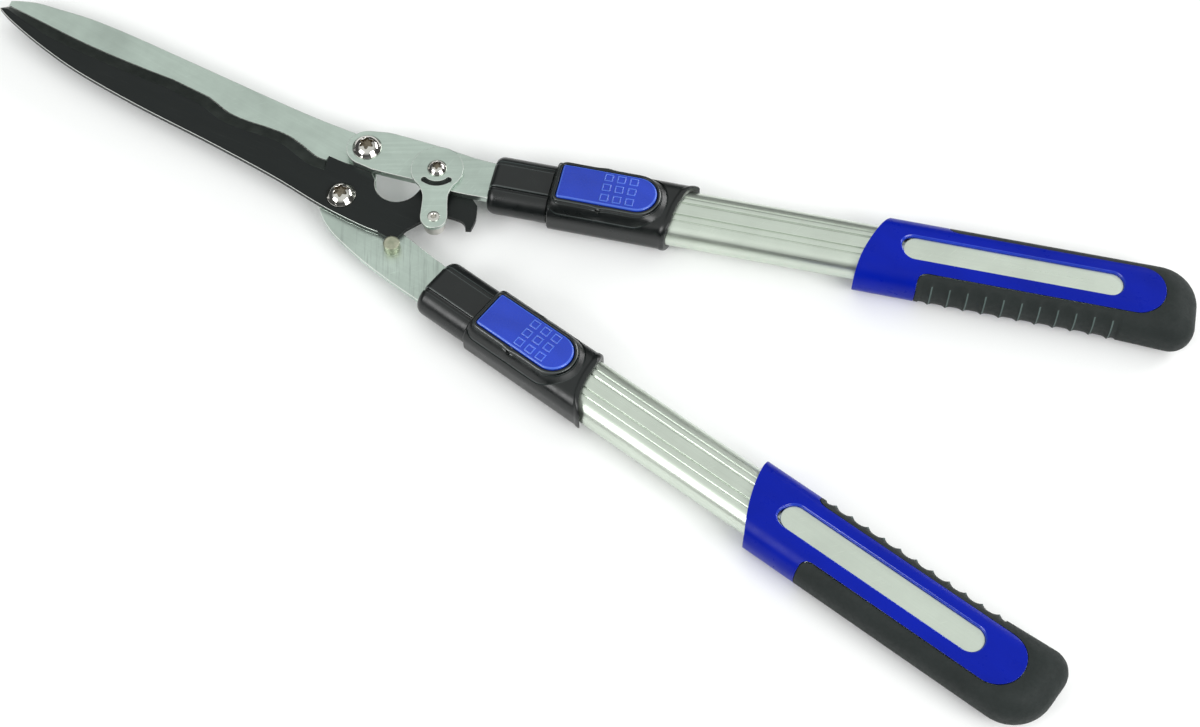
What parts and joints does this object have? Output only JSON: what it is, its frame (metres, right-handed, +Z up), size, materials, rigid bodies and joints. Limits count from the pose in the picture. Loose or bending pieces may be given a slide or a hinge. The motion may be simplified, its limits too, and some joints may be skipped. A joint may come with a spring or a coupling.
{
  "type": "telescopic hedge shears",
  "caption": "Two-handed hedge shears with a wave-edged blade, cam linkage, telescopic aluminium handles, push-button locks and soft grips.",
  "frame": {"origin": "middle of the footprint, on the surface that the grips and the pivot nuts lie on", "axes": "+X runs from the blade tips towards the grips along the closed blades, +Y towards the moving handle, +Z up through the pivot bolts' heads"},
  "size_m": [0.7098, 0.2742, 0.031],
  "materials": {
    "blade_steel": "satin ground sheet steel",
    "blade_black": "black non-stick coating with a ground bevel",
    "link_steel": "satin zinc-plated steel",
    "bolt_chrome": "bright nickel plating",
    "hardware_steel": "zinc-plated hardware",
    "tube_aluminium": "satin anodised",
    "sleeve_plastic": "black moulded plastic with a soft sheen",
    "button_plastic": "glossy royal blue",
    "grip_plastic": "deep blue moulded plastic",
    "grip_rubber": "soft dark grey overmould"
  },
  "bodies": {
    "fixed_handle": {"fixed_blade": "blade_steel", "stop_pin": "bolt_chrome", "main_pivot_bolt": "bolt_chrome", "main_pivot_washer": "hardware_steel", "main_pivot_nut": "hardware_steel", "handle_pivot_bolt": "bolt_chrome", "handle_pivot_spacer": "hardware_steel", "handle_pivot_washer": "hardware_steel", "handle_pivot_nut": "hardware_steel", "lower_collar": "sleeve_plastic", "lower_inner_tube": "tube_aluminium", "lower_tang_rivets": "hardware_steel", "lower_guide": "sleeve_plastic"},
    "moving_handle": {"upper_tang": "link_steel", "link_plate": "link_steel", "plate_bolt": "bolt_chrome", "roller_rivet": "bolt_chrome", "upper_collar": "sleeve_plastic", "upper_inner_tube": "tube_aluminium", "upper_tang_rivets": "hardware_steel", "upper_guide": "sleeve_plastic"},
    "cutting_blade": {"cutting_blade": "blade_black"},
    "opening_roller": {"opening_roller": "bolt_chrome"},
    "closing_roller": {"closing_roller": "hardware_steel"},
    "lower_extension": {"lower_outer_tube": "tube_aluminium", "lower_lock_sleeve": "sleeve_plastic", "lower_button_axle": "hardware_steel", "lower_button_spring": "hardware_steel", "lower_grip_shell": "grip_plastic", "lower_grip_rubber": "grip_rubber", "lower_grip_inlay": "tube_aluminium", "lower_tube_plug": "sleeve_plastic"},
    "upper_extension": {"upper_outer_tube": "tube_aluminium", "upper_lock_sleeve": "sleeve_plastic", "upper_button_axle": "hardware_steel", "upper_button_spring": "hardware_steel", "upper_grip_shell": "grip_plastic", "upper_grip_rubber": "grip_rubber", "upper_grip_inlay": "tube_aluminium", "upper_tube_plug": "sleeve_plastic"},
    "lower_lock": {"lower_button": "button_plastic", "lower_lock_pin": "hardware_steel"},
    "upper_lock": {"upper_button": "button_plastic", "upper_lock_pin": "hardware_steel"}
  },
  "joints": [
    {"name": "handle_open", "type": "hinge", "parent": "fixed_handle", "child": "moving_handle", "pos_m": [-0.11267, -0.03274, 0.014], "axis": [0, 0, 1], "range_deg": [0, 21]},
    {"name": "blade_open", "type": "hinge", "parent": "fixed_handle", "child": "cutting_blade", "pos_m": [-0.10787, -0.06424, 0.014], "axis": [0, 0, 1], "range_deg": [0, 18]},
    {"name": "opening_roller_spin", "type": "hinge", "parent": "moving_handle", "child": "opening_roller", "pos_m": [-0.05387, -0.05154, 0.014], "axis": [0, 0, 1], "continuous": true},
    {"name": "closing_roller_spin", "type": "hinge", "parent": "moving_handle", "child": "closing_roller", "pos_m": [-0.07076, -0.02424, 0.014], "axis": [0, 0, 1], "continuous": true},
    {"name": "lower_extend", "type": "slide", "parent": "fixed_handle", "child": "lower_extension", "axis": [0.9962, -0.0868, 0], "range_m": [0, 0.21]},
    {"name": "upper_extend", "type": "slide", "parent": "moving_handle", "child": "upper_extension", "axis": [0.937, 0.3494, 0], "range_m": [0, 0.21]},
    {"name": "lower_lock_press", "type": "hinge", "parent": "lower_extension", "child": "lower_lock", "pos_m": [0.0315, -0.08897, 0.0276], "axis": [0.0868, 0.9962, 0], "range_deg": [0, 5.5], "stiffness_Nm_per_rad": 2.3, "springref_deg": -3.44, "deforming": ["lower_button_spring"]},
    {"name": "upper_lock_press", "type": "hinge", "parent": "upper_extension", "child": "upper_lock", "pos_m": [0.0161, 0.0098, 0.0276], "axis": [-0.3494, 0.937, 0], "range_deg": [0, 5.5], "stiffness_Nm_per_rad": 2.3, "springref_deg": -3.44, "deforming": ["upper_button_spring"]}
  ],
  "couplings": [
    {"joint": "blade_open", "follows": "handle_open", "ratio": 0.85}
  ]
}
